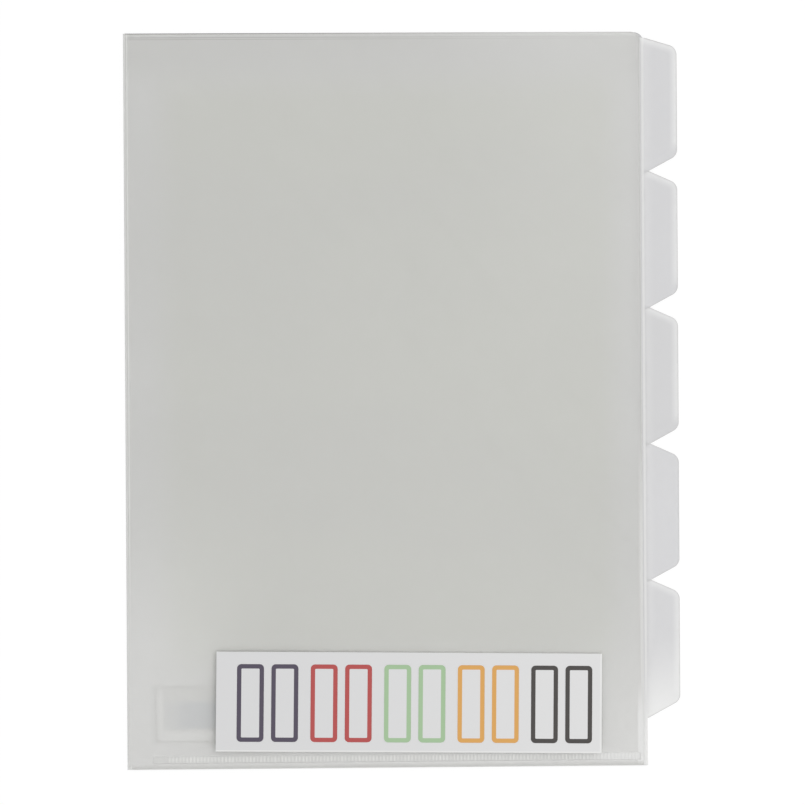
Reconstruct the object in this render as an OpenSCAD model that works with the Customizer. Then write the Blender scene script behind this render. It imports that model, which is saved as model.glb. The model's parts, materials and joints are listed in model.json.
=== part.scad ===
// Document folder with five pockets and five index tabs, lying flat with its cover up.
// Three clear plastic sheets are folded at the left and nested, which makes six layers:
// the back leaf, leaf 4, leaf 3, leaf 2, leaf 1 and the cover. The fifth tab is on the back leaf.
// A ribbed weld along the bottom holds all six. The layers lift at their top right corner, so each
// is split along the lines where it bends. A sheet of peel-off labels lies loose on the cover.
// Millimetres, X across the page, Y up it, +Z up. The origin is under the middle of the outline.

/* [Sheets] */
// Height of the outer sheet from its bottom edge to its top edge
outer_height = 310; // [290:1:330]
// How far the middle sheet, leaves 1 and 4, ends below the outer sheet's top edge
middle_top_drop = 1.8; // [0.4:0.1:6]
// How far the inner sheet, leaves 2 and 3, ends below the outer sheet's top edge
inner_top_drop = 2.6; // [0.4:0.1:6]
// Width of a leaf from the left fold, without its tab
leaf_width = 219.6; // [210:0.2:230]
// How far the cover's right edge lies inside the leaves' right edge
cover_inset = 1.6; // [0.4:0.2:8]
// Thickness of every sheet
sheet_thickness = 0.2; // [0.12:0.02:0.3]
// Air between two layers
layer_gap = 0.1; // [0.08:0.02:0.2]
// Radius of the cover's and the leaves' top right corner
corner_radius = 4; // [1:0.5:8]
// How far each fold lies inside the one around it
fold_inset = 1.4; // [0.6:0.1:3]

/* [Index tabs] */
// How far a tab stands out from its leaf
tab_reach = 14; // [8:0.5:20]
// Distance from the folder's top edge down to the middle of the first tab
first_tab_middle = 29.45; // [26:0.05:36]
// Distance from the folder's bottom edge up to the middle of the last tab
last_tab_middle = 50.05; // [44:0.05:60]
// Height of a tab at its outer edge as a share of the distance between two tabs' middles
tab_height_share = 0.793; // [0.6:0.001:0.82]
// Slope of a tab's upper side, in degrees from level
tab_upper_slope = 24; // [10:0.5:45]
// Slope of a tab's lower side, in degrees from level
tab_lower_slope = 28.5; // [10:0.5:45]
// Slope of the first tab's upper side, which runs out at the leaf's top edge
first_tab_slope = 16.6; // [12:0.1:24]
// Radius of a tab's outer corners
tab_corner_radius = 4; // [1:0.5:8]

/* [Bend lines] */
// Where the first bend line meets the top edge, measured from the left fold
bend_top_inset = 8; // [4:1:30]
// How high on the leaves' right edge the first bend line ends
bend_foot_height = 36; // [30:1:60]
// Distance from one bend line to the next
bend_spacing = 20; // [12:1:26]

/* [Bottom weld] */
// Distance from the bottom edge up to the weld
weld_bottom = 2.5; // [1:0.5:6]
// Height of the welded band
weld_height = 3; // [2:0.5:6]
// Distance from the left fold to the weld's left end
weld_start = 11; // [6:0.5:20]
// Distance from the weld's right end to the cover's right edge
weld_end_inset = 1.4; // [0.6:0.2:6]
// How deep the weld is pressed into the cover's face
weld_sink = 0.25; // [0.1:0.05:0.4]
// How far the weld's back stays clear of the table
weld_back_sink = 0.05; // [0:0.01:0.1]
// Distance from one pressed rib to the next
rib_spacing = 1.48; // [1:0.02:3]
// Width of a rib as a share of the pitch
rib_width_share = 0.5; // [0.3:0.05:0.7]
// How far a rib stands up from the pressed face
rib_rise = 0.16; // [0.05:0.01:0.24]
// Length of a rib across the weld
rib_length = 2; // [1:0.1:2.8]
// Plain length at the weld's left end, before the first rib
weld_plain_length = 6; // [0:0.5:12]

/* [Label sheet] */
// Width of the label sheet
card_width = 162.5; // [120:0.1:180]
// Height of the label sheet
card_height = 41.9; // [36:0.1:60]
// Distance from the label sheet's lower right corner to the leaves' right edge
card_right_inset = 19.8; // [15:0.1:36]
// Distance from the folder's bottom edge to the label sheet's lower left corner
card_bottom = 7.8; // [6:0.1:20]
// How far the label sheet lies turned, in degrees
card_turn = -0.8; // [-2:0.05:2]
// How far the label sheet's bottom edge tilts up from the cover, in degrees
card_tilt = 1.2; // [0:0.1:4]
// How far the label sheet's left edge curls up
card_rise = 0.8; // [0.4:0.1:4]
// Where the label sheet comes nearest the cover, as a share of its width from its left edge
card_rest_share = 0.72; // [0.5:0.01:0.9]
// Air under the label sheet where it comes nearest the cover, at its top edge
card_clearance = 0.2; // [0.02:0.02:0.4]
// Thickness of the backing paper
backing_thickness = 0.3; // [0.08:0.02:0.4]
// Thickness of the label paper
label_thickness = 0.1; // [0.06:0.02:0.2]
// Radius of a label's corners
label_radius = 1.8; // [0.5:0.1:3]
// Distance from the label sheet's left edge to the first label
label_left_margin = 8.7; // [2:0.01:12]
// Distance from the last label to the label sheet's right edge
label_right_margin = 4.1; // [2:0.01:12]
// Distance from the label sheet's bottom edge to the labels
label_bottom_margin = 4.1; // [2:0.1:8]
// Distance from the labels to the label sheet's top edge
label_top_margin = 5.2; // [2:0.1:8]
// Distance between the two labels of a pair
label_gap = 3.15; // [1:0.05:4]
// Distance between one pair of labels and the next
pair_gap = 5.2; // [1:0.1:6]
// Width of the cut around a label
cut_gap = 0.05; // [0.02:0.01:0.2]

/* [Sticker] */
// Width of the sticker on the front of leaf 1
sticker_width = 38; // [25:0.5:60]
// Height of the sticker
sticker_height = 24; // [15:0.5:40]
// Distance from the left fold to the sticker
sticker_left = 11.7; // [8:0.1:40]
// Distance from the bottom edge to the sticker
sticker_bottom = 11.2; // [8:0.1:40]
// Thickness of the sticker
sticker_thickness = 0.06; // [0.03:0.01:0.08]
// Radius of the sticker's corners
sticker_radius = 1.8; // [0.5:0.1:4]

/* [Hidden] */
$fn = 48;

// Layers counted from the table up
back_layer = 0;
leaf_4_layer = 1;
leaf_3_layer = 2;
leaf_2_layer = 3;
leaf_1_layer = 4;
cover_layer = 5;
layer_count = 6;
tab_count = 5;

// Folded sheets counted from the outside in
outer_sheet = 0;
middle_sheet = 1;
inner_sheet = 2;

// Labels lie side by side in pairs
label_pair_count = 5;

layer_pitch = sheet_thickness + layer_gap;
stack_height = layer_count * layer_pitch - layer_gap;
sheet_heights = [outer_height, outer_height - middle_top_drop, outer_height - inner_top_drop];
overall_width = leaf_width + tab_reach;
cover_width = leaf_width - cover_inset;
tab_pitch = (outer_height - first_tab_middle - last_tab_middle) / (tab_count - 1);
tab_height = tab_pitch * tab_height_share;
card_left = leaf_width - card_right_inset - card_width;
bend_slope = atan2(outer_height - bend_foot_height, leaf_width - bend_top_inset);
weld_length = cover_width - weld_end_inset - weld_start;
weld_top = stack_height - weld_sink;
rib_count = floor((weld_length - weld_plain_length) / rib_spacing);
label_row_width = card_width - label_left_margin - label_right_margin;
label_row_gaps = label_pair_count * label_gap + (label_pair_count - 1) * pair_gap;
label_width = (label_row_width - label_row_gaps) / (2 * label_pair_count);
label_height = card_height - label_bottom_margin - label_top_margin;
label_pitch = label_width + label_gap;
pair_pitch = 2 * label_width + label_gap + pair_gap;
label_sheet_thickness = backing_thickness + label_thickness;
card_rest = card_width * card_rest_share;
curl_radius = (pow(card_rest, 2) + pow(card_rise, 2)) / (2 * card_rise);
curl_steps = 16;
label_cut_height = card_rise + label_sheet_thickness;
// Longer than the folder, for cuts that have to run past its edges
past_edges = outer_height + overall_width;
cut_overrun = 1;

sheet_colour = [0.80, 0.80, 0.79, 0.6];
weld_colour = [0.84, 0.84, 0.83, 0.8];
paper_colour = [0.88, 0.88, 0.89];
backing_colour = [0.84, 0.84, 0.82];
sticker_colour = [0.83, 0.84, 0.86];

function layer_bottom(layer) = layer * layer_pitch;
function sheet_of(layer) = min(layer, layer_count - 1 - layer);
function layer_top_edge(layer) = sheet_heights[sheet_of(layer)];
function fold_radius(sheet) = stack_height / 2 - sheet * layer_pitch;
function fold_middle(sheet) = sheet * fold_inset + fold_radius(sheet);
function tab_middle(layer) = outer_height - first_tab_middle - (leaf_1_layer - layer) * tab_pitch;
function upper_slope(layer) = layer == leaf_1_layer ? first_tab_slope : tab_upper_slope;
// How far a rounded corner reaches along both sides of the point where they would meet
function corner_reach(slope) = tab_corner_radius * tan(45 - slope / 2);

// How far the label sheet has risen at a distance from its left edge, along an arc
function curl_rise(x) = curl_radius - sqrt(pow(curl_radius, 2) - pow(x - card_rest, 2));

// Moves the page, drawn from its lower left corner, so that the origin is under its middle.
module on_page() {
    translate([-overall_width / 2, -outer_height / 2, 0])
        children();
}

module rounded_rectangle(width, height, radius) {
    translate([radius, 0])
        square([width - 2 * radius, height]);
    translate([0, radius])
        square([width, height - 2 * radius]);
    for (x = [radius, width - radius], y = [radius, height - radius])
        translate([x, y])
            circle(r = radius);
}

// A cover or leaf without its tab: square at the bottom, round at the top right.
module plain_outline(left, width, height) {
    polygon([
        [left, 0],
        [width, 0],
        [width, height - corner_radius],
        [width - corner_radius, height],
        [left, height]
    ]);
    translate([width - corner_radius, height - corner_radius])
        circle(r = corner_radius);
}

// A leaf with its index tab, whose sloped sides end in round outer corners.
module tabbed_outline(left, layer) {
    height = layer_top_edge(layer);
    edge = leaf_width + tab_reach;
    high = tab_middle(layer) + tab_height / 2;
    low = tab_middle(layer) - tab_height / 2;
    slope = upper_slope(layer);
    high_reach = corner_reach(slope);
    low_reach = corner_reach(tab_lower_slope);
    runs_out = layer == leaf_1_layer;
    high_root = runs_out
        ? [[edge - (height - high) / tan(slope), height]]
        : [
            [leaf_width, high + tab_reach * tan(slope)],
            [leaf_width, height - corner_radius],
            [leaf_width - corner_radius, height]
        ];
    polygon(concat(
        [
            [left, 0],
            [leaf_width, 0],
            [leaf_width, low - tab_reach * tan(tab_lower_slope)],
            [edge - low_reach * cos(tab_lower_slope), low - low_reach * sin(tab_lower_slope)],
            [edge, low + low_reach],
            [edge, high - high_reach],
            [edge - high_reach * cos(slope), high + high_reach * sin(slope)]
        ],
        high_root,
        [[left, height]]
    ));
    translate([edge - tab_corner_radius, low + low_reach])
        circle(r = tab_corner_radius);
    translate([edge - tab_corner_radius, high - high_reach])
        circle(r = tab_corner_radius);
    if (!runs_out)
        translate([leaf_width - corner_radius, height - corner_radius])
            circle(r = corner_radius);
}

module layer_outline(layer) {
    left = fold_middle(sheet_of(layer));
    if (layer == cover_layer)
        plain_outline(left, cover_width, outer_height);
    else
        tabbed_outline(left, layer);
}

module weld_slot() {
    translate([weld_start, weld_bottom])
        square([weld_length, weld_height]);
}

// The page between two distances from the first bend line, measured towards the top right corner.
module bend_band(from, to) {
    translate([bend_top_inset, outer_height])
        rotate(90 - bend_slope)
            translate([from, -past_edges])
                square([to - from, 2 * past_edges]);
}

// The whole of one layer, cut out where the weld goes through it.
module whole_layer(layer) {
    on_page()
        translate([0, 0, layer_bottom(layer)])
            linear_extrude(sheet_thickness)
                difference() {
                    layer_outline(layer);
                    weld_slot();
                }
}

// The part of a layer that stays down: everything below the first bend line.
module held_part(layer) {
    on_page()
        translate([0, 0, layer_bottom(layer)])
            linear_extrude(sheet_thickness)
                intersection() {
                    difference() {
                        layer_outline(layer);
                        weld_slot();
                    }
                    bend_band(-past_edges, 0);
                }
}

// The strip of a layer between one bend line and the next.
module bend_strip(layer, line) {
    on_page()
        translate([0, 0, layer_bottom(layer)])
            linear_extrude(sheet_thickness)
                intersection() {
                    layer_outline(layer);
                    bend_band((line - 1) * bend_spacing, line * bend_spacing);
                }
}

// The corner of a layer beyond its own bend line. Each layer up bends one line further out.
module lifting_corner(layer) {
    on_page()
        translate([0, 0, layer_bottom(layer)])
            linear_extrude(sheet_thickness)
                intersection() {
                    layer_outline(layer);
                    bend_band((layer - leaf_4_layer) * bend_spacing, past_edges);
                }
}

// The round edge that joins a folded sheet's two layers at the left.
module fold(sheet) {
    radius = fold_radius(sheet);
    length = sheet_heights[sheet];
    on_page()
        translate([fold_middle(sheet), length, stack_height / 2])
            rotate([90, 0, 0])
                linear_extrude(length)
                    difference() {
                        circle(r = radius);
                        circle(r = radius - sheet_thickness);
                        translate([0, -radius - cut_overrun])
                            square([radius + cut_overrun, 2 * (radius + cut_overrun)]);
                    }
}

// The weld in cross section along its length, with its ribs as a comb.
module weld_comb() {
    rib_width = rib_spacing * rib_width_share;
    translate([0, weld_back_sink])
        square([weld_length, weld_top - weld_back_sink]);
    for (rib = [0 : rib_count - 1])
        translate([weld_plain_length + rib * rib_spacing, weld_back_sink])
            square([rib_width, weld_top + rib_rise - weld_back_sink]);
}

// The label sheet's place on the cover: slightly turned, and with its bottom edge tilted up.
module on_cover() {
    lift = card_clearance + card_height * sin(card_tilt);
    on_page()
        translate([card_left, card_bottom, stack_height + lift])
            rotate([-card_tilt, 0, card_turn])
                children();
}

// A layer of the label sheet between two heights. It curls up from where it rests to both ends.
module curled_layer(from, to) {
    across = [for (step = [0 : curl_steps]) step * card_width / curl_steps];
    translate([0, card_height, 0])
        rotate([90, 0, 0])
            linear_extrude(card_height)
                polygon(concat(
                    [for (step = [0 : curl_steps]) [across[step], curl_rise(across[step]) + from]],
                    [for (step = [curl_steps : -1 : 0]) [across[step], curl_rise(across[step]) + to]]
                ));
}

// Moves to the lower left corner of one label, counted from the left.
module at_label(pair, side) {
    translate([label_left_margin + pair * pair_pitch + side * label_pitch, label_bottom_margin])
        children();
}

module label(pair, side) {
    color(paper_colour)
        on_cover()
            intersection() {
                curled_layer(backing_thickness, label_sheet_thickness);
                linear_extrude(label_cut_height)
                    at_label(pair, side)
                        rounded_rectangle(label_width, label_height, label_radius);
            }
}

module back_leaf() {
    color(sheet_colour) whole_layer(back_layer);
}

module outer_fold() {
    color(sheet_colour) fold(outer_sheet);
}

module front_cover() {
    color(sheet_colour) held_part(cover_layer);
}

module middle_fold() {
    color(sheet_colour) fold(middle_sheet);
}

module leaf_4() {
    color(sheet_colour) held_part(leaf_4_layer);
}

module leaf_1() {
    color(sheet_colour) held_part(leaf_1_layer);
}

module inner_fold() {
    color(sheet_colour) fold(inner_sheet);
}

module leaf_3() {
    color(sheet_colour) held_part(leaf_3_layer);
}

module leaf_2() {
    color(sheet_colour) held_part(leaf_2_layer);
}

// The six layers melted together along the bottom. It fills the slot in each of them.
module bottom_weld() {
    flat_edge = (weld_height - rib_length) / 2;
    color(weld_colour)
        on_page() {
            translate([weld_start, weld_bottom + weld_height, 0])
                rotate([90, 0, 0])
                    linear_extrude(weld_height)
                        translate([0, weld_back_sink])
                            square([weld_length, weld_top - weld_back_sink]);
            translate([weld_start, weld_bottom + weld_height - flat_edge, 0])
                rotate([90, 0, 0])
                    linear_extrude(rib_length)
                        weld_comb();
        }
}

// A bare sticker on the front of leaf 1, seen faintly through the cover.
module sticker() {
    color(sticker_colour)
        on_page()
            translate([sticker_left, sticker_bottom, layer_bottom(leaf_1_layer) + sheet_thickness])
                linear_extrude(sticker_thickness)
                    rounded_rectangle(sticker_width, sticker_height, sticker_radius);
}

module leaf_4_corner() {
    color(sheet_colour) lifting_corner(leaf_4_layer);
}

module leaf_3_bend_1() {
    color(sheet_colour) bend_strip(leaf_3_layer, 1);
}

module leaf_2_bend_1() {
    color(sheet_colour) bend_strip(leaf_2_layer, 1);
}

module leaf_1_bend_1() {
    color(sheet_colour) bend_strip(leaf_1_layer, 1);
}

module cover_bend_1() {
    color(sheet_colour) bend_strip(cover_layer, 1);
}

module leaf_3_corner() {
    color(sheet_colour) lifting_corner(leaf_3_layer);
}

module leaf_2_bend_2() {
    color(sheet_colour) bend_strip(leaf_2_layer, 2);
}

module leaf_1_bend_2() {
    color(sheet_colour) bend_strip(leaf_1_layer, 2);
}

module cover_bend_2() {
    color(sheet_colour) bend_strip(cover_layer, 2);
}

module leaf_2_corner() {
    color(sheet_colour) lifting_corner(leaf_2_layer);
}

module leaf_1_bend_3() {
    color(sheet_colour) bend_strip(leaf_1_layer, 3);
}

module cover_bend_3() {
    color(sheet_colour) bend_strip(cover_layer, 3);
}

module leaf_1_corner() {
    color(sheet_colour) lifting_corner(leaf_1_layer);
}

module cover_bend_4() {
    color(sheet_colour) bend_strip(cover_layer, 4);
}

module cover_corner() {
    color(sheet_colour) lifting_corner(cover_layer);
}

// The silicone paper under the labels.
module label_backing() {
    color(backing_colour)
        on_cover()
            curled_layer(0, backing_thickness);
}

// The label paper that stays on the backing, with a window around each label.
module label_surround() {
    color(paper_colour)
        on_cover()
            intersection() {
                curled_layer(backing_thickness, label_sheet_thickness);
                linear_extrude(label_cut_height)
                    difference() {
                        square([card_width, card_height]);
                        for (pair = [0 : label_pair_count - 1], side = [0, 1])
                            at_label(pair, side)
                                translate([-cut_gap, -cut_gap])
                                    rounded_rectangle(
                                        label_width + 2 * cut_gap,
                                        label_height + 2 * cut_gap,
                                        label_radius + cut_gap
                                    );
                    }
            }
}

module label_navy_left() {
    label(0, 0);
}

module label_navy_right() {
    label(0, 1);
}

module label_red_left() {
    label(1, 0);
}

module label_red_right() {
    label(1, 1);
}

module label_green_left() {
    label(2, 0);
}

module label_green_right() {
    label(2, 1);
}

module label_orange_left() {
    label(3, 0);
}

module label_orange_right() {
    label(3, 1);
}

module label_black_left() {
    label(4, 0);
}

module label_black_right() {
    label(4, 1);
}

back_leaf();
outer_fold();
front_cover();
middle_fold();
leaf_4();
leaf_1();
inner_fold();
leaf_3();
leaf_2();
bottom_weld();
sticker();
leaf_4_corner();
leaf_3_bend_1();
leaf_2_bend_1();
leaf_1_bend_1();
cover_bend_1();
leaf_3_corner();
leaf_2_bend_2();
leaf_1_bend_2();
cover_bend_2();
leaf_2_corner();
leaf_1_bend_3();
cover_bend_3();
leaf_1_corner();
cover_bend_4();
cover_corner();
label_backing();
label_surround();
label_navy_left();
label_navy_right();
label_red_left();
label_red_right();
label_green_left();
label_green_right();
label_orange_left();
label_orange_right();
label_black_left();
label_black_right();
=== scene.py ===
import json
import math
import random

import bmesh
import bpy
from mathutils import Matrix, Vector


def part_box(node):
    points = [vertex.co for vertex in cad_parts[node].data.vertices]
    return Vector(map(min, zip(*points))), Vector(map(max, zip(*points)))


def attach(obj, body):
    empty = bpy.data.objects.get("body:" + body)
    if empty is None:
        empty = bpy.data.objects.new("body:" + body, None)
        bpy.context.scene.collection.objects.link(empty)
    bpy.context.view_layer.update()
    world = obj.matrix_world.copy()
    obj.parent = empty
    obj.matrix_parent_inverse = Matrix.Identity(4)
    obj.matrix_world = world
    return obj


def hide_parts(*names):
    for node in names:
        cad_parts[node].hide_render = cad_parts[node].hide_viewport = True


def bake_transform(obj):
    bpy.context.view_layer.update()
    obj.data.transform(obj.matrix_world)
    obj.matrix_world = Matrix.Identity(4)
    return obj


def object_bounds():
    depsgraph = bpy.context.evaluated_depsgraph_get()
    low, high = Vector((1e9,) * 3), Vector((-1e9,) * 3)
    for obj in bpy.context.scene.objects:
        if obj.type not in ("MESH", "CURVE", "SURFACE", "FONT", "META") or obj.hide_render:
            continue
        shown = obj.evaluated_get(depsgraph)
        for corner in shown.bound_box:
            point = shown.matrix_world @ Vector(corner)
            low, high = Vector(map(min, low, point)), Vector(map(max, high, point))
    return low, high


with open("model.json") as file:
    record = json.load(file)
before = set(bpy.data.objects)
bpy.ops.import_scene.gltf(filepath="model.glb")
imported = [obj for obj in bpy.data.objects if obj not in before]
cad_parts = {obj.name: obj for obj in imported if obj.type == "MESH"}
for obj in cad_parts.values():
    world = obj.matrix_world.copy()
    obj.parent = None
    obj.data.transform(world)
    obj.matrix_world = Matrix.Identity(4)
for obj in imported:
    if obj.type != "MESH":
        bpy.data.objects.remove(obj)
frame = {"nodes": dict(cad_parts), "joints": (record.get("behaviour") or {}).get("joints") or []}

cad_low, cad_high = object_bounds()


# Back leaf: the rearmost of six layers, half of the outer folded sheet, with the fifth index tab.
# It is die-cut from frosted clear plastic 0.2 mm thick, and stays flat on the table.
MM = 0.001
PAGE_WIDTH = (cad_high.x - cad_low.x) / MM
PAGE_HEIGHT = (cad_high.y - cad_low.y) / MM
LEAF_WIDTH = 219.6
COVER_WIDTH = 218
LEAF_CORNER_RADIUS = 4
FIRST_TAB_FROM_TOP = 29.45
TAB_SPACING = 57.625
TAB_HEIGHT = 45.7
TAB_UPPER_SLOPE = math.radians(24)
TAB_LOWER_SLOPE = math.radians(28.5)
FIRST_TAB_UPPER_SLOPE = math.radians(16.6)
TAB_CORNER_RADIUS = 4
CORNER_STEPS = 10
EDGE_BANDS = (0.3, 0.6, 1.2, 1.3)
FOLD_REACH = 6
SHARP_ANGLE = math.radians(30)
SNAP = 0.00001
PLASTIC_IOR = 1.49
PLASTIC_ROUGHNESS = 0.36
GRAIN_SCALE = 2200
GRAIN_RISE = 0.02
GRAIN_SHARE = 0.06
GRAIN_ROUGHNESS = 0.12
WAVE_SCALE = 22
WAVE_RISE = 0.6
LEAF_OPACITY = 0.70
# Painted shade along the cut edges, darkest along the top edges of the sheets.
LEAF_EDGE_SHADE_COLOUR = (0.60, 0.60, 0.595, 1)
# Painted glow on the tabs, and painted light where the leaves are paler.
LEAF_GLOW_COLOUR = (0.88, 0.88, 0.88, 1)
LEAF_LIT_COLOUR = (0.98, 0.98, 0.97, 1)
TOP_EDGE_SHADE_COLOUR = (0.20, 0.20, 0.195, 1)
EDGE_OPACITY = 0.9

# Where the sheets look different, in millimetres. Two numbers are where a change starts and ends,
# and three are a band from one place to another and how softly it ends. Shares and losses are how
# strong a change is.
RIM = (0.1, 0.4)
TOP_EDGE = (PAGE_HEIGHT - 6, PAGE_HEIGHT - 4)
TOP_EDGE_FADE = (40, 210)
TOP_EDGE_LOSS = 0.8
STACKED_EDGES = (LEAF_WIDTH - 0.4, LEAF_WIDTH + 0.3, 0.3)
GLOW_DEPTH = (0.4, 4)
GLOW_OVER_SLOPE = (1, 7)
GLOW_ACROSS = (LEAF_WIDTH - 4, LEAF_WIDTH)
BESIDE_COVER = (COVER_WIDTH + 0.7, COVER_WIDTH + 1.2, 0.7)
BESIDE_COVER_SHARE = 0.75
LOWER_END_ACROSS = (COVER_WIDTH - 2, COVER_WIDTH)
LOWER_END_UP = (10, 60)
TAB_ROOT = (LEAF_WIDTH - 0.4, LEAF_WIDTH + 0.4, 4)
TAB_ROOT_SHARE = 0.12
TAB_ROOT_SHARE_STEP = 0.03
LEAF_CLOUD_SCALE = 14
LEAF_CLOUD_SHARE = 0.12


def page_point(x, y, z=0):
    """A place on the page, in millimetres from its lower left corner, as a point in the frame."""
    return Vector((cad_low.x + x * MM, cad_low.y + y * MM, z))


def page_place(point):
    """The other way round: a point in the frame as millimetres across and up the page."""
    return (point.x - cad_low.x) / MM, (point.y - cad_low.y) / MM


def cut(bm, geometry, point, normal, **clear):
    """Cuts faces along a plane, and may clear what lies on one side of it."""
    bmesh.ops.bisect_plane(bm, geom=geometry, dist=SNAP, plane_co=point, plane_no=normal, **clear)


def everything(bm):
    return bm.verts[:] + bm.edges[:] + bm.faces[:]


def flat_sheet(corners, z):
    """A flat face from corners (x, y, reach), each rounded over its reach along both its sides."""
    bm = bmesh.new()
    points = [bm.verts.new(page_point(x, y, z)) for x, y, reach in corners]
    bm.faces.new(points)
    for point, (x, y, reach) in zip(points, corners):
        if reach > 0:
            bmesh.ops.bevel(
                bm, geom=[point], offset=reach * MM, offset_type="OFFSET", segments=CORNER_STEPS,
                profile=0.5, affect="VERTICES", material=-1,
            )
    return bm


def corner_reach(slope):
    """How far a tab's rounded corner reaches along its two sides."""
    return TAB_CORNER_RADIUS * math.tan(math.pi / 4 - slope / 2)


def tab_middle(tab):
    """How high the middle of a tab lies on the page. Tabs are counted from the top."""
    return PAGE_HEIGHT - FIRST_TAB_FROM_TOP - (tab - 1) * TAB_SPACING


def tabbed_corners(left, top, tab):
    """The corners of a leaf with its tab, counted from the top of the page."""
    reach = PAGE_WIDTH - LEAF_WIDTH
    high = tab_middle(tab) + TAB_HEIGHT / 2
    low = tab_middle(tab) - TAB_HEIGHT / 2
    corners = [
        (left, 0, 0),
        (LEAF_WIDTH, 0, 0),
        (LEAF_WIDTH, low - reach * math.tan(TAB_LOWER_SLOPE), 0),
        (PAGE_WIDTH, low, corner_reach(TAB_LOWER_SLOPE)),
    ]
    if tab == 1:
        slope = FIRST_TAB_UPPER_SLOPE
        run_out = PAGE_WIDTH - (top - high) / math.tan(slope)
        corners += [(PAGE_WIDTH, high, corner_reach(slope)), (run_out, top, 0)]
    else:
        root = high + reach * math.tan(TAB_UPPER_SLOPE)
        corners += [
            (PAGE_WIDTH, high, corner_reach(TAB_UPPER_SLOPE)),
            (LEAF_WIDTH, root, 0),
            (LEAF_WIDTH, top, LEAF_CORNER_RADIUS),
        ]
    return corners + [(left, top, 0)]


def mark_edge(bm):
    """Insets loops along the outline and notes on each point how far it lies from the cut edge.
    At the left the sheet goes on into its fold, so there only its bottom and top edges are cut."""
    top = max(page_place(point.co)[1] for point in bm.verts)
    note = bm.verts.layers.float.new("from_edge")
    distance = 0
    for width in EDGE_BANDS:
        middle = max(bm.faces, key=lambda face: face.calc_area())
        bmesh.ops.inset_region(
            bm, faces=[middle], thickness=width * MM, depth=0,
            use_boundary=True, use_even_offset=True,
        )
        middle = max(bm.faces, key=lambda face: face.calc_area())
        distance += width
        for point in middle.verts:
            point[note] = distance
    for height in (distance, top - distance):
        cut(bm, everything(bm), page_point(0, height), (0, 1, 0))
    for point in bm.verts:
        across, up = page_place(point.co)
        if across < FOLD_REACH:
            point[note] = min(distance, up, top - up)


def cut_weld_slot(bm):
    """Leaves room for the bottom weld, which goes through every layer."""
    low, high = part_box("bottom_weld")
    for end in (low, high):
        cut(bm, everything(bm), end, (0, 1, 0))
    for end in (low, high):
        row = [face for face in bm.faces if low.y < face.calc_center_median().y < high.y]
        edges = list({edge for face in row for edge in face.edges})
        points = list({point for face in row for point in face.verts})
        cut(bm, points + edges + row, end, (1, 0, 0))
    gap = []
    for face in bm.faces:
        middle = face.calc_center_median()
        if low.x < middle.x < high.x and low.y < middle.y < high.y:
            gap.append(face)
    bmesh.ops.delete(bm, geom=gap, context="FACES")


def thicken(bm, thickness):
    """Raises a flat sheet into a closed solid."""
    made = bmesh.ops.extrude_face_region(bm, geom=bm.faces[:])
    raised = [part for part in made["geom"] if isinstance(part, bmesh.types.BMVert)]
    bmesh.ops.translate(bm, verts=raised, vec=(0, 0, thickness))
    bmesh.ops.recalc_face_normals(bm, faces=bm.faces[:])


def finished(bm, name, *materials):
    """Makes the object of a mesh, with smooth faces and sharp edges at its corners."""
    mesh = bpy.data.meshes.new(name)
    bm.to_mesh(mesh)
    bm.free()
    mesh.shade_smooth()
    mesh.set_sharp_from_angle(angle=SHARP_ANGLE)
    for material in materials:
        mesh.materials.append(material)
    piece = bpy.data.objects.new(name, mesh)
    bpy.context.scene.collection.objects.link(piece)
    return piece


class Wire:
    """A value in a material's node tree. Sums written on it become Math nodes."""

    def __init__(self, tree, socket=None):
        self.tree = tree
        self.socket = socket

    def node(self, kind, settings=(), values=(), out=0):
        """Adds a node: its settings are set first, then each socket gets a value or a link."""
        made = self.tree.nodes.new(kind)
        for name, value in dict(settings).items():
            setattr(made, name, value)
        for name, value in dict(values).items():
            if isinstance(value, Wire):
                self.tree.links.new(value.socket, made.inputs[name])
            else:
                made.inputs[name].default_value = value
        return Wire(self.tree, made.outputs[out] if made.outputs else None)

    def maths(self, operation, first, second):
        return self.node("ShaderNodeMath", {"operation": operation}, {0: first, 1: second})

    def __add__(self, other):
        return self.maths("ADD", self, other)

    def __sub__(self, other):
        return self.maths("SUBTRACT", self, other)

    def __rsub__(self, other):
        return self.maths("SUBTRACT", other, self)

    def __mul__(self, other):
        return self.maths("MULTIPLY", self, other)

    __radd__ = __add__
    __rmul__ = __mul__


def new_material(name):
    """An empty material and the start of its node tree."""
    material = bpy.data.materials.new(name)
    material.use_nodes = True
    material.node_tree.nodes.clear()
    return material, Wire(material.node_tree)


def noise(start, place, scale, detail):
    return start.node("ShaderNodeTexNoise", (), {"Vector": place, "Scale": scale, "Detail": detail})


def ramp(start, value, low, high):
    """0 below low and 1 above high, with a smooth rise between them."""
    return start.node(
        "ShaderNodeMapRange", {"interpolation_type": "SMOOTHSTEP"},
        {"Value": value, "From Min": low, "From Max": high},
    )


def mixed(start, share, first, second):
    return start.node("ShaderNodeMix", {"data_type": "RGBA"}, {0: share, 6: first, 7: second}, out=2)


def page_axis(start, place, number):
    """Millimetres across (0) or up (1) the page, from a material's object coordinates."""
    axis = start.node("ShaderNodeSeparateXYZ", (), {"Vector": place}, out=number)
    return (axis - cad_low[number]) * (1 / MM)


def band(start, value, low, high, soft):
    """1 from low to high, with a smooth fall over soft on both sides."""
    return ramp(start, value, low - soft, low) * (1 - ramp(start, value, high, high + soft))


def most(first, *others):
    """The greatest of several values."""
    for value in others:
        first = first.maths("MAXIMUM", first, value)
    return first


def relief(start, height, strength, rise, below=None):
    """Fine relief from a pattern, with its rise in millimetres, on top of the relief below it."""
    values = {"Strength": strength, "Distance": rise * MM, "Height": height}
    if below:
        values["Normal"] = below
    return start.node("ShaderNodeBump", (), values)


def give_surface(start, values):
    """Ends a material in one surface shader with the given sockets."""
    shader = start.node("ShaderNodeBsdfPrincipled", (), values)
    start.node("ShaderNodeOutputMaterial", (), {"Surface": shader})


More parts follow.
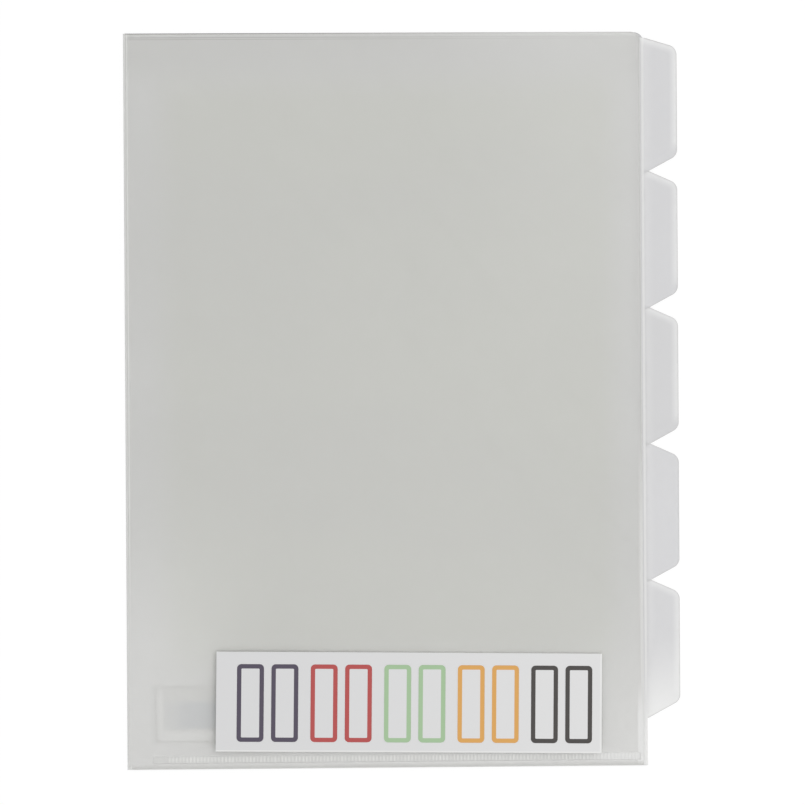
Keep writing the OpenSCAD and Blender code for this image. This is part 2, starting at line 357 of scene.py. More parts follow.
def frosted_plastic(name, edge_shade_colour, body):
    """Frosted sheet, cloudy and half clear, with painted shade along its cut edges, except where the
    right edges of the leaves lie on each other. The painted edge shade is darkest along the top, and
    less so to the right. body gives the sheet's colour and how opaque it is."""
    material, start = new_material(name)
    place = start.node("ShaderNodeTexCoord", out="Object")
    from_edge = start.node("ShaderNodeAttribute", {"attribute_name": "from_edge"}, out="Fac")
    across = page_axis(start, place, 0)
    up = page_axis(start, place, 1)
    colour, opacity = body(start, place, across, up, from_edge)
    grain = noise(start, place, GRAIN_SCALE, detail=2)
    waves = noise(start, place, WAVE_SCALE, detail=1)
    surface = relief(start, grain, strength=0.25, rise=GRAIN_RISE)
    surface = relief(start, waves, strength=0.3, rise=WAVE_RISE, below=surface)
    # Painted shade along the cut edges, darkest along the top and fading to the right.
    edge_shade_mask = (1 - ramp(start, from_edge, *RIM)) * (1 - band(start, across, *STACKED_EDGES))
    top = ramp(start, up, *TOP_EDGE) * (1 - ramp(start, across, *TOP_EDGE_FADE) * TOP_EDGE_LOSS)
    edge = mixed(start, top, edge_shade_colour, TOP_EDGE_SHADE_COLOUR)
    tone = mixed(start, grain * GRAIN_SHARE, colour, edge_shade_colour)
    give_surface(start, {
        "Base Color": mixed(start, edge_shade_mask, tone, edge),
        "Roughness": PLASTIC_ROUGHNESS + grain * GRAIN_ROUGHNESS,
        "IOR": PLASTIC_IOR,
        "Alpha": opacity + edge_shade_mask * (EDGE_OPACITY - opacity),
        "Normal": surface,
    })
    return material


def leaf_plastic(tab, colour, glow):
    """The stock of one leaf. It has a painted glow along the right and upper edges of its tab, where
    light gets in, on some tabs more than on others. Painted light makes it paler beside the cover,
    along the lower end of its right edge and at the root of its tab, which is the paler the lower a
    leaf lies."""
    lower_corner = tab_middle(tab) - TAB_HEIGHT / 2
    root_share = TAB_ROOT_SHARE + TAB_ROOT_SHARE_STEP * tab

    def body(start, place, across, up, from_edge):
        clouds = noise(start, place, LEAF_CLOUD_SCALE, detail=3)
        tone = mixed(start, clouds * LEAF_CLOUD_SHARE, colour, LEAF_EDGE_SHADE_COLOUR)
        over_slope = up - lower_corner + (PAGE_WIDTH - across) * math.tan(TAB_LOWER_SLOPE)
        # Painted glow along the right and upper edges of the tab.
        lit = (1 - ramp(start, from_edge, *GLOW_DEPTH)) * ramp(start, over_slope, *GLOW_OVER_SLOPE)
        lit = lit * ramp(start, across, *GLOW_ACROSS) * glow
        tone = mixed(start, lit, tone, LEAF_GLOW_COLOUR)
        # Painted light beside the cover, at the lower end of the right edge and at the tab's root.
        leaf_painted_light = most(
            band(start, across, *BESIDE_COVER) * BESIDE_COVER_SHARE,
            ramp(start, across, *LOWER_END_ACROSS) * (1 - ramp(start, up, *LOWER_END_UP)),
            band(start, across, *TAB_ROOT) * root_share,
        )
        return mixed(start, leaf_painted_light, tone, LEAF_LIT_COLOUR), LEAF_OPACITY

    return frosted_plastic(f"frosted_leaf_{tab}", LEAF_EDGE_SHADE_COLOUR, body)


def layer_sheet(node, tab):
    """One whole layer as a flat sheet, placed and sized by its CAD node."""
    low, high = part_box(node)
    left, top = page_place(Vector((low.x, high.y, 0)))
    bm = flat_sheet(tabbed_corners(left, top, tab), low.z)
    mark_edge(bm)
    cut_weld_slot(bm)
    return bm, high.z - low.z


# The leaves are one stock. Their colours below differ a little as painted light, for how brightly
# each tab is lit.
sheet, thickness = layer_sheet("back_leaf", 5)
thicken(sheet, thickness)
back_leaf = finished(
    sheet, "back_leaf_sheet", leaf_plastic(5, colour=(0.735, 0.735, 0.75, 1), glow=0.8)
)
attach(back_leaf, "folder")
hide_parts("back_leaf")


# Leaves 4 and 3: the rear halves of the middle and the inner folded sheet, with tabs 4 and 3.
# They are held by their fold and by the weld, so a leaf lifts at its top right corner and bends
# across the page. Each is made in panels, which meet edge to edge and bend one after the other.
BEND_REACH = 10
BEND_STEP = 2
hinges = [joint for joint in frame["joints"] if joint["type"] == "hinge"]
bend_axis = Vector(hinges[0]["axis"])
bend_out = Vector((-bend_axis.y, bend_axis.x, 0)).normalized()


def bend_point(hinge, distance):
    """A point on the page at a distance, in millimetres, beyond a hinge's bend line."""
    return Vector(hinge["pos_m"]) + bend_out * distance * MM


def bending_panels(bm, thickness, name, nodes, material):
    """Splits a layer into one panel for each bend line that it crosses, each cut finely across its
    bend line, and hides the CAD nodes that the panels stand for.
    """
    crossed = hinges[: len(nodes) - 1]
    for hinge in crossed:
        for step in range(-BEND_REACH, BEND_REACH + 1, BEND_STEP):
            cut(bm, everything(bm), bend_point(hinge, step), bend_out)
    for number, hinge in enumerate(crossed):
        start = bend_point(hinge, -BEND_REACH)
        end = bend_point(hinge, BEND_REACH)
        part = bm.copy()
        stands_for = [nodes[number]]
        if number > 0:
            cut(part, everything(part), start, bend_out, clear_inner=True)
        if number < len(crossed) - 1:
            cut(part, everything(part), end, bend_out, clear_outer=True)
        else:
            stands_for.append(nodes[number + 1])
        thicken(part, thickness)
        panel = finished(part, f"{name}_panel_{number + 1}", material)
        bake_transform(panel)
        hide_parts(*stands_for)
    bm.free()


sheet, thickness = layer_sheet("leaf_4", 4)
bending_panels(
    sheet, thickness, "leaf_4", ["leaf_4", "leaf_4_corner"],
    leaf_plastic(4, colour=(0.75, 0.75, 0.765, 1), glow=0),
)
sheet, thickness = layer_sheet("leaf_3", 3)
bending_panels(
    sheet, thickness, "leaf_3", ["leaf_3", "leaf_3_bend_1", "leaf_3_corner"],
    leaf_plastic(3, colour=(0.71, 0.71, 0.72, 1), glow=0.75),
)


# Leaves 2 and 1: the front halves of the inner and the middle folded sheet, with tabs 2 and 1.
# They are the same stock as leaves 3 and 4, and lift over them.
sheet, thickness = layer_sheet("leaf_2", 2)
bending_panels(
    sheet, thickness, "leaf_2",
    ["leaf_2", "leaf_2_bend_1", "leaf_2_bend_2", "leaf_2_corner"],
    leaf_plastic(2, colour=(0.72, 0.72, 0.735, 1), glow=0.75),
)
sheet, thickness = layer_sheet("leaf_1", 1)
bending_panels(
    sheet, thickness, "leaf_1",
    ["leaf_1", "leaf_1_bend_1", "leaf_1_bend_2", "leaf_1_bend_3", "leaf_1_corner"],
    leaf_plastic(1, colour=(0.72, 0.72, 0.735, 1), glow=0.9),
)


# Sticker: a plain paper sticker on the front of leaf 1, seen through the cover. It is paler along
# its left and lower edges, with a soft block of colour in its middle, and a painted shadow line
# along its left, lower and top edges. Its right end lies under the label sheet.
STICKER_RADIUS = 1.8
STICKER_ROUGHNESS = 0.5
STICKER_COLOUR = (0.42, 0.42, 0.415, 1)
STICKER_PALE_COLOUR = (0.62, 0.62, 0.625, 1)
# Painted shadow along the sticker's edges.
STICKER_EDGE_SHADOW_COLOUR = (0.27, 0.27, 0.27, 1)
STICKER_MOTTLE = 0.9
BLOCK_COLOUR = (0.12, 0.17, 0.25, 1)
PAPER_IOR = 1.45
FIBRE_SCALE = 1400
FIBRE_RISE = 0.02
FIBRE_SHARE = 0.35
FIBRE_ROUGHNESS = 0.1
PAPER_CLOUD_SCALE = 30
PAPER_CLOUD_SHARE = 0.25

# Where its print and its painted edge shadow change, in millimetres from the sticker's left and
# lower edges, or from its top.
CORNER_BLEND = 3
PALE_EDGES = (2.6, 4)
PALE_FOOT = (3.4, 6.4)
BLOCK_START = (3, 5)
BLOCK_START_SHARE = 0.45
BLOCK_MIDDLE = (8, 12)
BLOCK_UP = (7, 16.2, 2)
EDGE_SHADOW_LINE = (0.5, 1.3)
TOP_EDGE_SHADOW_LINE = (0.6, 2)


def paper(name, tone, roughness):
    """Smooth coated paper with faint fibres. tone gives its colour."""
    material, start = new_material(name)
    place = start.node("ShaderNodeTexCoord", out="Object")
    fibres = noise(start, place, FIBRE_SCALE, detail=4)
    clouds = noise(start, place, PAPER_CLOUD_SCALE, detail=2)
    mottle = clouds * PAPER_CLOUD_SHARE + fibres * FIBRE_SHARE
    give_surface(start, {
        "Base Color": tone(start, place, mottle),
        "Roughness": roughness + fibres * FIBRE_ROUGHNESS,
        "IOR": PAPER_IOR,
        "Normal": relief(start, fibres, strength=0.2, rise=FIBRE_RISE),
    })
    return material


def darker(colour, share):
    return tuple(part * share for part in colour[:3]) + (1,)


low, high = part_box("sticker")
left, bottom = page_place(low)
right, top = page_place(high)


def sticker_tone(start, place, mottle):
    """The sticker's print, soft as the frosted cover shows it, with a painted shadow line along its
    left, lower and top edges.
    """
    across = page_axis(start, place, 0) - left
    up = page_axis(start, place, 1) - bottom
    tone = mixed(start, mottle, STICKER_COLOUR, darker(STICKER_COLOUR, STICKER_MOTTLE))
    inset = start.node(
        "ShaderNodeMath", {"operation": "SMOOTH_MIN"}, {0: across, 1: up, 2: CORNER_BLEND}
    )
    pale = most(1 - ramp(start, inset, *PALE_EDGES), 1 - ramp(start, up, *PALE_FOOT))
    tone = mixed(start, pale, tone, STICKER_PALE_COLOUR)
    block = ramp(start, across, *BLOCK_START) * BLOCK_START_SHARE
    block = block + ramp(start, across, *BLOCK_MIDDLE) * (1 - BLOCK_START_SHARE)
    tone = mixed(start, block * band(start, up, *BLOCK_UP), tone, BLOCK_COLOUR)
    # Painted shadow line along the left, lower and top edges.
    clear_of_edge_shadow = ramp(start, inset, *EDGE_SHADOW_LINE) * ramp(start, top - bottom - up, *TOP_EDGE_SHADOW_LINE)
    return mixed(start, clear_of_edge_shadow, STICKER_EDGE_SHADOW_COLOUR, tone)


corners = (left, bottom), (right, bottom), (right, top), (left, top)
sheet = flat_sheet([(x, y, STICKER_RADIUS) for x, y in corners], low.z)
thicken(sheet, high.z - low.z)
sticker_paper = paper("sticker_paper", sticker_tone, STICKER_ROUGHNESS)
sticker = finished(sheet, "plain_sticker", sticker_paper)
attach(sticker, "folder")
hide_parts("sticker")


# Front cover: the front half of the outer folded sheet, without a tab and a little narrower.
# It is the same frosted stock. Painted light makes it paler and milkier beside the weld, along
# the lower part of its right edge and in wide zones of its lower half and upper right.
COVER_COLOUR = (0.835, 0.84, 0.785, 1)
COVER_BORDER_LIGHT_COLOUR = (0.87, 0.87, 0.845, 1)
COVER_SHADE_COLOUR = (0.80, 0.80, 0.765, 1)
# Paler and more opaque: painted light in zones of the cover, and its crease beside the fold.
COVER_LIGHT_AND_CREASE_COLOUR = (0.99, 0.99, 0.985, 1)
COVER_EDGE_SHADE_COLOUR = (0.72, 0.72, 0.71, 1)
COVER_STEP_SHADOW_COLOUR = (0.50, 0.50, 0.49, 1)
COVER_OPACITY = 0.36
COVER_LIGHT_AND_CREASE_OPACITY = 0.70
CLOUD_SLANT = math.radians(35)
CLOUD_SCALES = (4, 14, 4)
CLOUD_LEVELS = (0.35, 0.75)
CLOUD_SHARE = 0.5

# How far in from each side of the cover its middle tone starts, and where it is full. Outside it,
# the cover has painted light, paler and greyer.
LEFT_BORDER = (8, 26)
RIGHT_BORDER = (5, 20)
TOP_BORDER = (8, 32)
FOOT_BORDER = (30, 60)

# Painted shadow lines where the top edges of the two shorter sheets show through the cover.
STEP_WIDTH = 0.05
STEP_SOFTNESS = 0.18
STEP_SHARE = 0.6
STEP_FADE = (20, 200)
STEP_LOSS = 0.75
step_heights = [page_place(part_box(leaf)[1])[1] - STEP_WIDTH for leaf in ("leaf_1", "leaf_2")]

# Zones of the cover: where each fades across the page and up the page, and how strong it is. The
# first two are painted shade, and the others are painted light, which makes the cover paler and
# more opaque.
UPPER_LEFT_SHADE = ((90, 200), (284, 303), 0.5)
FREE_EDGE_SHADE = ((212, 217.6), (110, 150), 0.25)
LOWER_LEFT = ((4, 70), (45, 130), 0.37)
LOWER_RIGHT = ((170, COVER_WIDTH), (0, 90), 0.47)
LOWER_EDGE = ((215.8, 217.8), (90, 150), 0.7)
LOWER_CORNER = ((214.2, 216), (16, 50), 0.84)
UPPER_RIGHT = ((120, 205), (110, 290), 0.15)

# At the sticker's left edge a painted shadow takes away some of the painted light. Along its foot
# the cover has painted light, the more so away from the fold, and beside the fold it is creased.
STICKER_SHADOW_ACROSS = (11.3, 12.2, 2.5)
STICKER_SHADOW_UP = (12, 34, 3)
STICKER_SHADOW_LOSS = 0.2
FOOT = (6, 14)
FOOT_SHARE = 0.3
FOOT_GAIN = 0.15
FOOT_GAIN_ACROSS = (20, 80)
FOOT_LINE = (0.2, 2.6)
CREASE = (1.6, 3)
CREASE_SHARE = 0.14
CREASE_LINE = (1.5, 1.7, 0.4)
CREASE_LINE_SHARE = 0.26


def zone(start, across, up, limits, left=False, low=False):
    """A zone that takes in the upper right of the cover, or its left or its lower side instead."""
    sideways, upright, share = limits
    beside = ramp(start, across, *sideways)
    over = ramp(start, up, *upright)
    return (1 - beside if left else beside) * (1 - over if low else over) * share


def cover_body(start, place, across, up, from_edge):
    """Faintly green in its middle, with painted light that makes it paler and greyer along its
    borders, and wide diagonal clouds.
    """
    slanted = start.node(
        "ShaderNodeMapping", (),
        {"Vector": place, "Rotation": (0, 0, CLOUD_SLANT), "Scale": CLOUD_SCALES},
    )
    clouds = ramp(start, noise(start, slanted, scale=1, detail=2), *CLOUD_LEVELS)
    # Painted light along the borders of the cover.
    inside = ramp(start, across, *LEFT_BORDER) * ramp(start, COVER_WIDTH - across, *RIGHT_BORDER)
    inside = inside * ramp(start, PAGE_HEIGHT - up, *TOP_BORDER) * ramp(start, up, *FOOT_BORDER)
    tone = mixed(start, inside, COVER_BORDER_LIGHT_COLOUR, COVER_COLOUR)
    tone = mixed(start, clouds * CLOUD_SHARE, tone, COVER_SHADE_COLOUR)
    shaded = zone(start, across, up, UPPER_LEFT_SHADE, left=True)
    tone = mixed(start, shaded, tone, COVER_SHADE_COLOUR)
    tone = mixed(start, zone(start, across, up, FREE_EDGE_SHADE), tone, COVER_EDGE_SHADE_COLOUR)
    # Painted shadow lines of the top edges of the two shorter sheets.
    step_shadows = most(*(
        band(start, up, height, height + STEP_WIDTH, STEP_SOFTNESS) for height in step_heights
    ))
    step_shadows = step_shadows * (1 - ramp(start, across, *STEP_FADE) * STEP_LOSS)
    tone = mixed(start, step_shadows * STEP_SHARE, tone, COVER_STEP_SHADOW_COLOUR)
    # Painted shadow on the cover beside the sticker's left edge.
    sticker_shadow = band(start, across, *STICKER_SHADOW_ACROSS) * band(start, up, *STICKER_SHADOW_UP)
    along_foot = FOOT_SHARE + ramp(start, across, *FOOT_GAIN_ACROSS) * FOOT_GAIN
    # Painted light in zones of the cover, which makes it paler and more opaque.
    light_and_crease = most(
        zone(start, across, up, LOWER_LEFT, left=True, low=True) * (1 - sticker_shadow * STICKER_SHADOW_LOSS),
        zone(start, across, up, LOWER_RIGHT, low=True),
        zone(start, across, up, LOWER_EDGE, low=True),
        zone(start, across, up, LOWER_CORNER, low=True),
        zone(start, across, up, UPPER_RIGHT),
        (1 - ramp(start, up, *FOOT)) * along_foot,
    )
    creased = (1 - ramp(start, across, *CREASE)) * CREASE_SHARE
    creased = creased + band(start, across, *CREASE_LINE) * CREASE_LINE_SHARE
    light_and_crease = most(light_and_crease * ramp(start, up, *FOOT_LINE), creased)
    opacity = COVER_OPACITY + light_and_crease * (COVER_LIGHT_AND_CREASE_OPACITY - COVER_OPACITY)
    return mixed(start, light_and_crease, tone, COVER_LIGHT_AND_CREASE_COLOUR), opacity


low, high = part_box("front_cover")
left, top = page_place(Vector((low.x, high.y, 0)))
right = page_place(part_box("cover_corner")[1])[0]
sheet = flat_sheet(
    [(left, 0, 0), (right, 0, 0), (right, top, LEAF_CORNER_RADIUS), (left, top, 0)], low.z
)
mark_edge(sheet)
cut_weld_slot(sheet)
cover_plastic = frosted_plastic("frosted_cover", COVER_EDGE_SHADE_COLOUR, cover_body)
bending_panels(
    sheet, high.z - low.z, "cover",
    [
        "front_cover", "cover_bend_1", "cover_bend_2", "cover_bend_3", "cover_bend_4",
        "cover_corner",
    ],
    cover_plastic,
)


# Folds: the left edge, where each of the three sheets was creased hot and turned back on itself.
# The crease is stretched, so it is paler than the flat sheet. They keep their CAD solids.
FOLD_COLOUR = (0.885, 0.885, 0.875, 1)
FOLD_SHADE = (0.80, 0.80, 0.79, 1)
FOLD_ROUGHNESS = 0.28
FOLD_OPACITY = 0.6
FOLD_LINE_SCALES = (3000, 8, 3000)
FOLD_LINE_RISE = 0.03
FOLD_LINE_ROUGHNESS = 0.15


def creased_plastic(name):
    """Stretched frosted plastic, with fine lines along the crease."""
    material, start = new_material(name)
    place = start.node("ShaderNodeTexCoord", out="Object")
    long_place = start.node("ShaderNodeMapping", (), {"Vector": place, "Scale": FOLD_LINE_SCALES})
    lines = noise(start, long_place, scale=1, detail=3)
    give_surface(start, {
        "Base Color": mixed(start, lines, FOLD_COLOUR, FOLD_SHADE),
        "Roughness": FOLD_ROUGHNESS + lines * FOLD_LINE_ROUGHNESS,
        "IOR": PLASTIC_IOR,
        "Alpha": FOLD_OPACITY,
        "Normal": relief(start, lines, strength=0.3, rise=FOLD_LINE_RISE),
    })
    return material


def dress(node, material):
    """Gives a CAD node that stays in view its finish."""
    mesh = frame["nodes"][node].data
    if not mesh.materials:
        mesh.materials.append(material)
    for number in range(len(mesh.materials)):
        mesh.materials[number] = material


fold_plastic = creased_plastic("creased_fold")
for node in ("outer_fold", "middle_fold", "inner_fold"):
    dress(node, fold_plastic)


# Bottom weld: all six layers melted together under a ribbed bar, which leaves a sunk band.
# The ribs are soft ridges, no two quite alike, and the first few millimetres are plain.
RIB_SPACING = 1.48
RIB_WIDTH = 0.9
RIB_LENGTH = 3
RIB_RISE = 0.16
RIB_ROUNDNESS = 0.6
RIB_LEAST_SHARE = 0.55
RIB_SEED = 4
RIB_PLAIN_START = 6
RIB_STEPS = 6
WELD_ROWS = 10
WELD_RIB_HIGHLIGHT_COLOUR = (0.89, 0.89, 0.87, 1)
WELD_SHADE = (0.69, 0.69, 0.675, 1)
WELD_BRIGHT_COLOUR = (0.825, 0.825, 0.815, 1)
WELD_BRIGHT_SHARE = 0.85
WELD_BRIGHT_END = (186, 206)
WELD_ROUGHNESS = 0.26
WELD_OPACITY = 0.85
WELD_CLOUD_SCALE = 400
WELD_CLOUD_SHARE = 0.3
WELD_CLOUD_RISE = 0.04
WELD_CLOUD_ROUGHNESS = 0.15


def welded_plastic(name, low, high):
    """Melted plastic, nearly opaque and a little glossier than the sheet, with painted highlight on
    its ribs and painted shade between them, from one height to another. At its right end it is pale
    between them too."""
    material, start = new_material(name)
    place = start.node("ShaderNodeTexCoord", out="Object")
    height = start.node("ShaderNodeSeparateXYZ", (), {"Vector": place}, out=2)
    clouds = noise(start, place, WELD_CLOUD_SCALE, detail=3)
    # Painted highlight on the rib tops and painted shade in the hollows between them.
    ribbed = ramp(start, height, low, high) * (1 - WELD_CLOUD_SHARE) + clouds * WELD_CLOUD_SHARE
    tone = mixed(start, ribbed, WELD_SHADE, WELD_RIB_HIGHLIGHT_COLOUR)
    bright = ramp(start, page_axis(start, place, 0), *WELD_BRIGHT_END) * WELD_BRIGHT_SHARE
    give_surface(start, {
        "Base Color": mixed(start, bright, tone, WELD_BRIGHT_COLOUR),
        "Roughness": WELD_ROUGHNESS + clouds * WELD_CLOUD_ROUGHNESS,
        "IOR": PLASTIC_IOR,
        "Alpha": WELD_OPACITY,
        "Normal": relief(start, clouds, strength=0.3, rise=WELD_CLOUD_RISE),
    })
    return material


def ridge(distance, width):
    """The height of a soft ridge: 1 on its line and 0 at half its width away."""
    if abs(distance) >= width / 2:
        return 0
    return max(0, math.cos(math.pi * distance / width)) ** RIB_ROUNDNESS


low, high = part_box("bottom_weld")
length = (high.x - low.x) / MM
depth = (high.y - low.y) / MM
random.seed(RIB_SEED)
rib_count = int((length - RIB_PLAIN_START) / RIB_SPACING)
rib_heights = [random.uniform(RIB_LEAST_SHARE, 1) for rib in range(rib_count)]
weld = bmesh.new()
bmesh.ops.create_grid(
    weld, x_segments=int(length / RIB_SPACING * RIB_STEPS), y_segments=WELD_ROWS, size=0.5
)
bmesh.ops.scale(weld, verts=weld.verts, vec=(high.x - low.x, high.y - low.y, 1))
bmesh.ops.translate(
    weld, verts=weld.verts,
    vec=((low.x + high.x) / 2, (low.y + high.y) / 2, high.z - RIB_RISE * MM),
)
for point in weld.verts:
    along = (point.co.x - low.x) / MM - RIB_PLAIN_START
    across = (point.co.y - low.y) / MM - depth / 2
    rib = int(along // RIB_SPACING)
    if along > 0 and rib < rib_count:
        rise = ridge(along - (rib + 0.5) * RIB_SPACING, RIB_WIDTH) * ridge(across, RIB_LENGTH)
        point.co.z += rise * rib_heights[rib] * RIB_RISE * MM
made = bmesh.ops.extrude_face_region(weld, geom=weld.faces[:])
for part in made["geom"]:
    if isinstance(part, bmesh.types.BMVert):
        part.co.z = low.z
bmesh.ops.recalc_face_normals(weld, faces=weld.faces[:])
weld_band = finished(
    weld, "weld_band", welded_plastic("welded_band", high.z - RIB_RISE * MM, high.z)
)
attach(weld_band, "folder")
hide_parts("bottom_weld")


# Label sheet: silicone backing paper, with the waste of the label paper still on it, both as CAD
# solids. It lies loose on the cover, a little turned and tilted, and its left end curls up. The
# label paper has a painted highlight along its right and lower edges, and painted shade towards
# its left end.
CARD_WIDTH = 162.5
CARD_HEIGHT = 41.9
CARD_TURN = math.radians(-0.8)
CARD_TILT = math.radians(1.2)
CARD_REST = 117
CARD_RISE = 0.8
CURL_RADIUS = (CARD_REST ** 2 + CARD_RISE ** 2) / (2 * CARD_RISE)
BACKING_THICKNESS = 0.3
BACKING_COLOUR = (0.93, 0.93, 0.92, 1)
BACKING_ROUGHNESS = 0.4
PLAIN_MOTTLE = 0.93
LABEL_COLOUR = (0.745, 0.745, 0.745, 1)
# Painted highlight along the label paper's edges, and painted shade towards its left end.
LABEL_EDGE_HIGHLIGHT_COLOUR = (0.80, 0.80, 0.79, 1)
LABEL_SHADE_COLOUR = (0.70, 0.70, 0.705, 1)
LABEL_MOTTLE = 0.5
LABEL_MOTTLE_SHARE = 0.07
LABEL_ROUGHNESS = 0.45
LABEL_SHADE_FADE = (0, 200)
HIGHLIGHT_RIGHT = (CARD_WIDTH - 1, CARD_WIDTH - 0.5)
HIGHLIGHT_FOOT = (0.4, 0.8)


def on_card(across, up, height):
    """From a place on the label sheet to millimetres from its lower left corner in the frame. The
    sheet rests at CARD_REST and curls up from there, by CARD_RISE at its left end."""
    z = height + CURL_RADIUS - math.sqrt(CURL_RADIUS ** 2 - (across - CARD_REST) ** 2)
    place = Vector((across, up, z))
    place.rotate(Matrix.Rotation(-CARD_TILT, 3, "X"))
    place.rotate(Matrix.Rotation(CARD_TURN, 3, "Z"))
    return place


card_low, card_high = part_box("label_backing")
card_corner = Vector((
    card_low.x,
    card_high.y - on_card(0, CARD_HEIGHT, BACKING_THICKNESS).y * MM,
    card_low.z - on_card(CARD_REST, CARD_HEIGHT, 0).z * MM,
))


def plain_tone(colour):
    """One colour of paper, a little mottled."""
    mottled = darker(colour, PLAIN_MOTTLE)
    return lambda start, place, mottle: mixed(start, mottle, colour, mottled)


def label_tone(start, place, mottle):
    """The label paper, with painted shade towards its curled left end and a painted highlight along
    its right and lower edges.
    """
    back = -CARD_TURN
    corner = Matrix.Rotation(back, 3, "Z") @ card_corner
    flat = start.node(
        "ShaderNodeMapping", (),
        {"Vector": place, "Rotation": (0, 0, back), "Location": -corner},
    )
    across = start.node("ShaderNodeSeparateXYZ", (), {"Vector": flat}, out=0) * (1 / MM)
    up = start.node("ShaderNodeSeparateXYZ", (), {"Vector": flat}, out=1) * (1 / MM)
    # Painted highlight along the right and lower edges.
    edge = most(ramp(start, across, *HIGHLIGHT_RIGHT), 1 - ramp(start, up, *HIGHLIGHT_FOOT))
    # Painted shade towards the curled left end.
    tone = mixed(start, ramp(start, across, *LABEL_SHADE_FADE), LABEL_SHADE_COLOUR, LABEL_COLOUR)
    mottled = darker(LABEL_COLOUR, LABEL_MOTTLE)
    tone = mixed(start, mottle * LABEL_MOTTLE_SHARE, tone, mottled)
    return mixed(start, edge, tone, LABEL_EDGE_HIGHLIGHT_COLOUR)


label_paper = paper("label_paper", label_tone, LABEL_ROUGHNESS)
backing_paper = paper("backing_paper", plain_tone(BACKING_COLOUR), BACKING_ROUGHNESS)
dress("label_backing", backing_paper)
dress("label_surround", label_paper)


# Labels: ten die-cut peel-off labels in five pairs, each with a printed frame along its edge.
# They are the same paper as what surrounds them, and follow the curl of their sheet.
LABEL_WIDTH = 11.315
LABEL_HEIGHT = 32.6
LABEL_RADIUS = 1.8
LABEL_CORNER_STEPS = 6
FIRST_LABEL_MARGIN = 8.7
LABEL_BOTTOM_MARGIN = 4.1
LABEL_SPACING = 14.465
PAIR_SPACING = 30.98
FRAME_STROKE = 1.85
FRAME_INNER_RADIUS = 0.4
LABEL_THICKNESS = 0.1
CURL_STEP = 1.3
INK_ROUGHNESS = 0.4
INKS = {
    "navy": (0.085, 0.070, 0.105, 1),
    "red": (0.47, 0.078, 0.075, 1),
    "green": (0.375, 0.545, 0.33, 1),
    "orange": (0.72, 0.375, 0.10, 1),
    "black": (0.062, 0.056, 0.053, 1),
}


def plate(bm, width, height, radius):
    """A flat rectangle with round corners, round the origin, in millimetres."""
    points = []
    for x, y in ((-1, -1), (1, -1), (1, 1), (-1, 1)):
        points.append(bm.verts.new((x * width / 2, y * height / 2, 0)))
    face = bm.faces.new(points)
    known = set(bm.faces)
    bmesh.ops.bevel(
        bm, geom=points, offset=radius, offset_type="OFFSET", segments=LABEL_CORNER_STEPS,
        profile=0.5, affect="VERTICES", material=-1,
    )
    return face if face.is_valid else (set(bm.faces) - known).pop()


def label_mesh(pair, side):
    """A label: a printed frame round a bare middle, raised to its thickness and curled."""
    bm = bmesh.new()
    plate(bm, LABEL_WIDTH, LABEL_HEIGHT, LABEL_RADIUS)
    bmesh.ops.delete(bm, geom=bm.faces[:], context="FACES_ONLY")
    plate(
        bm, LABEL_WIDTH - 2 * FRAME_STROKE, LABEL_HEIGHT - 2 * FRAME_STROKE, FRAME_INNER_RADIUS
    )
    for face in bmesh.ops.bridge_loops(bm, edges=bm.edges[:])["faces"]:
        face.material_index = 1
    cuts = int(LABEL_WIDTH / 2 / CURL_STEP)
    for step in range(-cuts, cuts + 1):
        cut(bm, everything(bm), (step * CURL_STEP, 0, 0), (1, 0, 0))
    thicken(bm, LABEL_THICKNESS)
    for face in bm.faces:
        if face.normal.z < 0.5:
            face.material_index = 0
    left = FIRST_LABEL_MARGIN + pair * PAIR_SPACING + side * LABEL_SPACING
    middle_across = left + LABEL_WIDTH / 2
    middle_up = LABEL_BOTTOM_MARGIN + LABEL_HEIGHT / 2
    for point in bm.verts:
        x, y, z = point.co
        place = on_card(middle_across + x, middle_up + y, BACKING_THICKNESS + z)
        point.co = card_corner + place * MM
    return bm


for pair, (ink_name, ink) in enumerate(INKS.items()):
    printed = paper(f"ink_{ink_name}", plain_tone(ink), INK_ROUGHNESS)
    for side, side_name in enumerate(("left", "right")):
        label = finished(
            label_mesh(pair, side), f"{ink_name}_label_{side_name}", label_paper, printed
        )
        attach(label, "label_card")
        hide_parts(f"label_{ink_name}_{side_name}")


# The table: a plain white floor, just below the folder. The camera sees it as white, and it
# keeps the folder's shadow.
FLOOR_SIZE = 4
FLOOR_DROP = 0.2
FLOOR_SHADE = 0.07
FLOOR_COLOUR = (0.86, 0.86, 0.86, 1)
FLOOR_WHITE = 1.02


def white_to_camera(start, shader, strength, share):
    """Shows white to the camera and in reflections, and the given shader to everything else."""
    direct = start.node("ShaderNodeLightPath", out="Is Camera Ray")
    glossy = start.node("ShaderNodeLightPath", out="Is Glossy Ray")
    through = start.node("ShaderNodeLightPath", out="Is Transmission Ray")
    seen = start.node(
        "ShaderNodeMath", {"operation": "MINIMUM"}, {0: direct + glossy + through, 1: 1}
    )
    white = start.node("ShaderNodeEmission", (), {"Color": (1, 1, 1, 1), "Strength": strength})
    return start.node("ShaderNodeMixShader", (), {0: seen * share, 1: shader, 2: white})


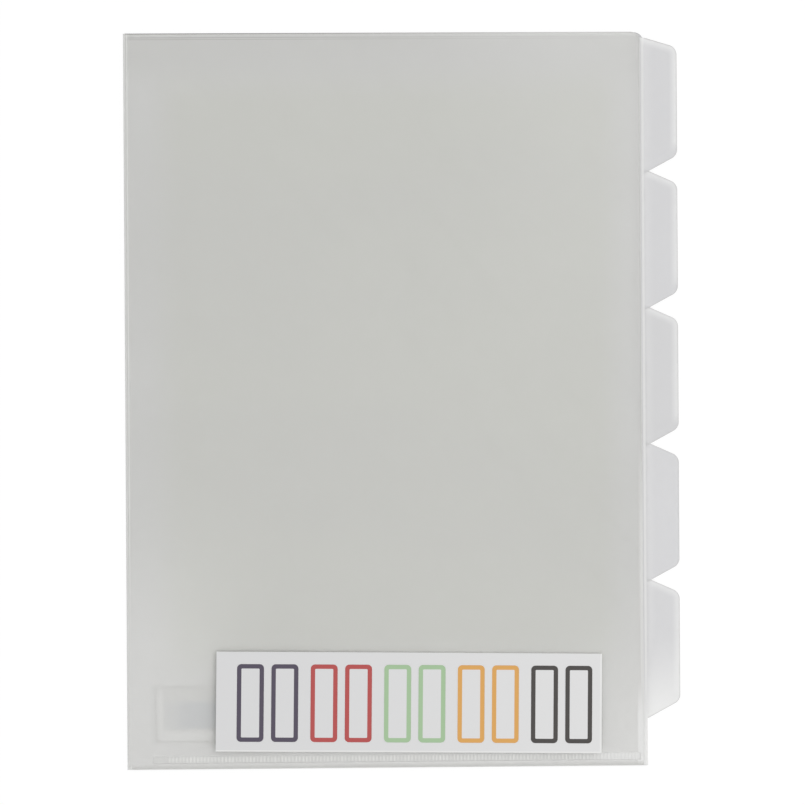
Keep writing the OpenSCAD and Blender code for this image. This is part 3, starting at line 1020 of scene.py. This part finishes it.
floor_mesh = bmesh.new()
bmesh.ops.create_grid(floor_mesh, x_segments=1, y_segments=1, size=FLOOR_SIZE / 2)
bmesh.ops.translate(floor_mesh, verts=floor_mesh.verts, vec=(0, 0, -FLOOR_DROP * MM))
floor_paint, start = new_material("white_table")
diffuse = start.node("ShaderNodeBsdfDiffuse", (), {"Color": FLOOR_COLOUR})
shown = white_to_camera(start, diffuse, FLOOR_WHITE, 1 - FLOOR_SHADE)
start.node("ShaderNodeOutputMaterial", (), {"Surface": shown})
floor = finished(floor_mesh, "table_top", floor_paint)


# Studio light: a pale room, a wide soft box above the lower right of the folder, and another one
# further off at its upper right.
WORLD_LEVEL = 0.815
world = bpy.data.worlds.new("pale_room")
world.use_nodes = True
world.node_tree.nodes.clear()
bpy.context.scene.world = world
start = Wire(world.node_tree)
seen = start.node("ShaderNodeLightPath", out="Is Camera Ray")
level = WORLD_LEVEL + seen * (1 - WORLD_LEVEL)
room = start.node("ShaderNodeBackground", (), {"Color": (1, 1, 1, 1), "Strength": level})
start.node("ShaderNodeOutputWorld", (), {"Surface": room})


def lamp(name, place, size, power):
    """A square soft box that faces the middle of the folder."""
    light = bpy.data.lights.new(name, "AREA")
    light.size = size
    light.energy = power
    box = bpy.data.objects.new(name, light)
    box.location = place
    box.rotation_mode = "QUATERNION"
    box.rotation_quaternion = (-Vector(place)).to_track_quat("-Z", "Y")
    bpy.context.scene.collection.objects.link(box)


lamp("overhead_box", place=(0.6, -0.35, 0.9), size=1.2, power=2.1)
lamp("side_box", place=(1.5, 0.9, 1.1), size=1.3, power=6)


# Camera: above the folder and almost straight down on it, as the photograph was taken. Its small
# turns lay the folder in the picture as it lies in the photograph.
CAMERA_PLACE = (-0.0153, -0.0016, 0.9447)
CAMERA_TURNS = (math.radians(0.04), math.radians(-0.93), math.radians(-0.37))
CAMERA_LENS = 100
CAMERA_SENSOR = 36
camera_data = bpy.data.cameras.new("camera")
camera_data.lens = CAMERA_LENS
camera_data.sensor_width = CAMERA_SENSOR
camera = bpy.data.objects.new("camera", camera_data)
camera.location = CAMERA_PLACE
camera.rotation_euler = CAMERA_TURNS
bpy.context.scene.collection.objects.link(camera)
bpy.context.scene.camera = camera

bpy.context.scene.view_settings.view_transform = "Standard"
